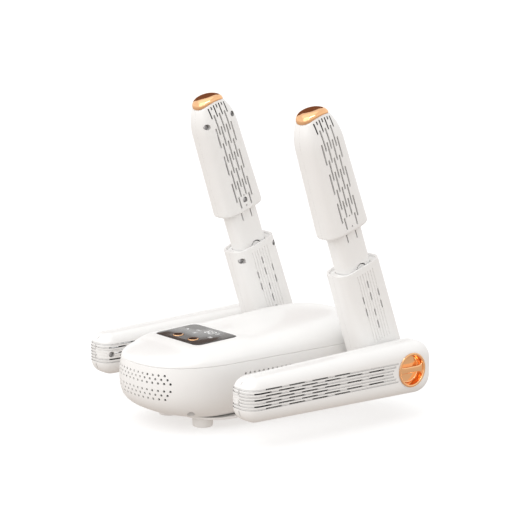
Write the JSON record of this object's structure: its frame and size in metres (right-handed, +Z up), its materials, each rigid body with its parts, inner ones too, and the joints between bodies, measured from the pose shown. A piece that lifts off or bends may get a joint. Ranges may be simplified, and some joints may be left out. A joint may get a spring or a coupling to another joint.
{
  "type": "boot dryer",
  "caption": "Folding boot and shoe dryer: an oval blower pod with side hinges, perforated shoe arms, telescopic boot arms, a display panel with two keys and plated end cups.",
  "frame": {"origin": "on the floor under the middle of the bounding box", "axes": "+Z up, -Y the front with the display and the nose grille, +X the dryer's left side"},
  "size_m": [0.2188, 0.2154, 0.2457],
  "materials": {
    "white_casing": "warm white, satin gloss",
    "rose_gold": "rose gold electroplating on plastic, mirror bright",
    "smoked_panel": "smoked, polished",
    "foot_rubber": "pale grey, matt",
    "steel": "zinc plated",
    "dark_plastic": "black, matt",
    "board": "green solder mask on glass-epoxy",
    "heater_fins": "plain fins and frame",
    "cutout_metal": "plain"
  },
  "bodies": {
    "base": {"upper_housing": "white_casing", "lower_housing": "white_casing", "base_plate": "white_casing", "front_left_foot": "foot_rubber", "front_right_foot": "foot_rubber", "rear_left_foot": "foot_rubber", "rear_right_foot": "foot_rubber", "base_screw_1": "steel", "base_screw_2": "steel", "base_screw_3": "steel", "base_screw_4": "steel", "display_panel": "smoked_panel", "led_display": "dark_plastic", "control_board": "board", "fan_housing": "white_casing", "fan_motor": "steel", "ptc_heater": "heater_fins", "thermal_cutout": "cutout_metal", "air_duct": "white_casing", "power_inlet": "dark_plastic", "left_hinge_axle": "white_casing", "right_hinge_axle": "white_casing"},
    "fan_impeller": {"fan_impeller": "dark_plastic"},
    "left_key": {"left_key": "rose_gold"},
    "right_key": {"right_key": "rose_gold"},
    "left_boot_arm": {"left_boot_sleeve_outer": "white_casing", "left_boot_sleeve_inner": "white_casing", "left_sleeve_screw_1": "steel", "left_sleeve_screw_2": "steel", "left_sleeve_screw_3": "steel"},
    "left_boot_extension": {"left_boot_tube": "white_casing", "left_boot_head_outer": "white_casing", "left_boot_head_inner": "white_casing", "left_boot_cap": "rose_gold", "left_head_screw_1": "steel", "left_head_screw_2": "steel", "left_head_screw_3": "steel"},
    "left_shoe_arm": {"left_shoe_arm_outer": "white_casing", "left_shoe_arm_inner": "white_casing", "left_shoe_cup": "rose_gold", "left_shoe_screw_1": "steel", "left_shoe_screw_2": "steel"},
    "right_boot_arm": {"right_boot_sleeve_outer": "white_casing", "right_boot_sleeve_inner": "white_casing", "right_sleeve_screw_1": "steel", "right_sleeve_screw_2": "steel", "right_sleeve_screw_3": "steel"},
    "right_boot_extension": {"right_boot_tube": "white_casing", "right_boot_head_outer": "white_casing", "right_boot_head_inner": "white_casing", "right_boot_cap": "rose_gold", "right_head_screw_1": "steel", "right_head_screw_2": "steel", "right_head_screw_3": "steel"},
    "right_shoe_arm": {"right_shoe_arm_outer": "white_casing", "right_shoe_arm_inner": "white_casing", "right_shoe_cup": "rose_gold", "right_shoe_screw_1": "steel", "right_shoe_screw_2": "steel"}
  },
  "joints": [
    {"name": "left_boot_arm_hinge", "type": "hinge", "parent": "base", "child": "left_boot_arm", "pos_m": [0.0662, 0.0805, 0.0396], "axis": [1, 0, 0], "range_deg": [-19.1, 70.9]},
    {"name": "left_boot_arm_slide", "type": "slide", "parent": "left_boot_arm", "child": "left_boot_extension", "axis": [0, -0.3272, 0.9449], "range_m": [-0.03, 0]},
    {"name": "left_shoe_arm_hinge", "type": "hinge", "parent": "base", "child": "left_shoe_arm", "pos_m": [0.095, 0.0805, 0.0396], "axis": [1, 0, 0], "range_deg": [-90, 0]},
    {"name": "left_key_press", "type": "slide", "parent": "base", "child": "left_key", "axis": [0, 0.0454, -0.999], "range_m": [0, 0.0008], "stiffness_N_per_m": 600},
    {"name": "right_boot_arm_hinge", "type": "hinge", "parent": "base", "child": "right_boot_arm", "pos_m": [-0.0662, 0.0805, 0.0396], "axis": [1, 0, 0], "range_deg": [-19.1, 70.9]},
    {"name": "right_boot_arm_slide", "type": "slide", "parent": "right_boot_arm", "child": "right_boot_extension", "axis": [0, -0.3272, 0.9449], "range_m": [-0.03, 0]},
    {"name": "right_shoe_arm_hinge", "type": "hinge", "parent": "base", "child": "right_shoe_arm", "pos_m": [-0.095, 0.0805, 0.0396], "axis": [1, 0, 0], "range_deg": [-90, 0]},
    {"name": "right_key_press", "type": "slide", "parent": "base", "child": "right_key", "axis": [0, 0.0454, -0.999], "range_m": [0, 0.0008], "stiffness_N_per_m": 600},
    {"name": "fan_impeller_spin", "type": "hinge", "parent": "base", "child": "fan_impeller", "pos_m": [0, -0.018, 0.034], "axis": [0, 0, 1], "continuous": true}
  ]
}
